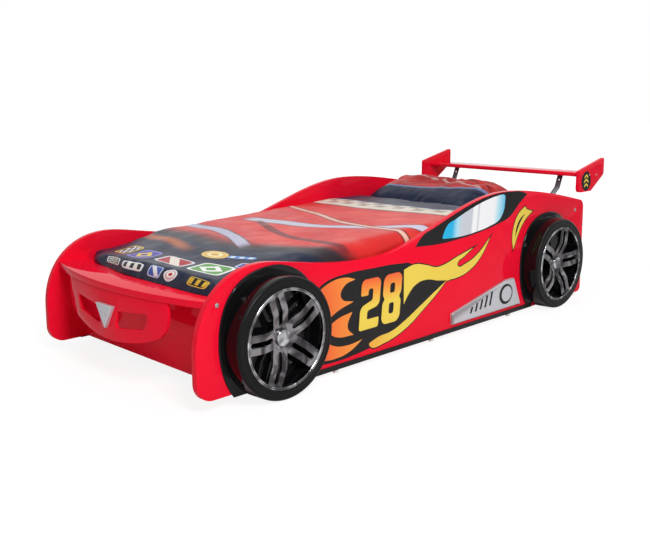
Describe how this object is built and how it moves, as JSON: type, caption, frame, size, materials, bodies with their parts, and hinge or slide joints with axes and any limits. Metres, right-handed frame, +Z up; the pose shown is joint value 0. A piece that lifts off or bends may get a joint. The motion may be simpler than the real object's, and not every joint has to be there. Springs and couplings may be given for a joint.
{
  "type": "race car bed",
  "caption": "Child's bed shaped like a low race car: shaped side panels with dummy wheels, bonnet shelf, bumper, rear wing, slat base, mattress, duvet and pillow.",
  "frame": {"origin": "on the floor, under the middle of the bed's bounding box", "axes": "+X towards the headboard and rear wing, -X the car's nose; -Y the car's left side, the near side in the picture; +Z up"},
  "size_m": [2.511, 1.11, 0.6515],
  "materials": {
    "red_lacquer": "high gloss red lacquer on board",
    "black_moulding": "moulded black, glossy arch and satin tyre wall",
    "bright_rim": "bright plated",
    "silver_plastic": "silver grey paint, bevelled edges",
    "black_plastic": "plain black",
    "white_nylon": "plain white",
    "dark_steel": "dark grey coating",
    "zinc_fixings": "zinc plated",
    "pine": "planed pine",
    "webbing": "woven tape",
    "mattress_cover": "knitted white cover",
    "duvet_cover": "printed satin, navy, red and cream",
    "pillow_cover": "printed satin, red and navy"
  },
  "bodies": {
    "frame": {"badge_plate": "silver_plastic", "barrel_nuts": "zinc_fixings", "bearer_rail_left": "pine", "bearer_rail_right": "pine", "bonnet_shelf": "red_lacquer", "bumper": "red_lacquer", "bumper_blocks": "red_lacquer", "end_plate_left": "red_lacquer", "end_plate_right": "red_lacquer", "end_plate_screws": "zinc_fixings", "floor_glides": "white_nylon", "foot_board": "red_lacquer", "headboard": "red_lacquer", "hub_cap_front_left": "bright_rim", "hub_cap_front_right": "bright_rim", "hub_cap_rear_left": "bright_rim", "hub_cap_rear_right": "bright_rim", "panel_bolts": "zinc_fixings", "rail_screws": "zinc_fixings", "rim_front_left": "bright_rim", "rim_front_right": "bright_rim", "rim_rear_left": "bright_rim", "rim_rear_right": "bright_rim", "side_panel_left": "red_lacquer", "side_panel_right": "red_lacquer", "sill_plate_left": "silver_plastic", "sill_plate_right": "silver_plastic", "skirt_strip_left": "black_plastic", "skirt_strip_right": "black_plastic", "strut_screws": "zinc_fixings", "wheel_front_left": "black_moulding", "wheel_front_right": "black_moulding", "wheel_rear_left": "black_moulding", "wheel_rear_right": "black_moulding", "wheel_screws": "zinc_fixings", "wing": "red_lacquer", "wing_strut_left": "dark_steel", "wing_strut_right": "dark_steel"},
    "slat_base": {"slat_01": "pine", "slat_02": "pine", "slat_03": "pine", "slat_04": "pine", "slat_05": "pine", "slat_06": "pine", "slat_07": "pine", "slat_08": "pine", "slat_09": "pine", "slat_10": "pine", "slat_11": "pine", "slat_12": "pine", "slat_13": "pine", "slat_14": "pine", "slat_webbing_left": "webbing", "slat_webbing_right": "webbing"},
    "mattress": {"mattress": "mattress_cover"},
    "duvet": {"duvet": "duvet_cover"},
    "pillow": {"pillow": "pillow_cover"}
  },
  "joints": [
    {"name": "slat_base_lift", "type": "slide", "parent": "frame", "child": "slat_base", "axis": [0, 0, 1], "range_m": [0, 0.35]},
    {"name": "mattress_lift", "type": "slide", "parent": "slat_base", "child": "mattress", "axis": [0, 0, 1], "range_m": [0, 0.35]},
    {"name": "duvet_lift", "type": "slide", "parent": "mattress", "child": "duvet", "axis": [0, 0, 1], "range_m": [0, 0.35]},
    {"name": "pillow_lift", "type": "slide", "parent": "mattress", "child": "pillow", "axis": [0, 0, 1], "range_m": [0, 0.35]}
  ]
}
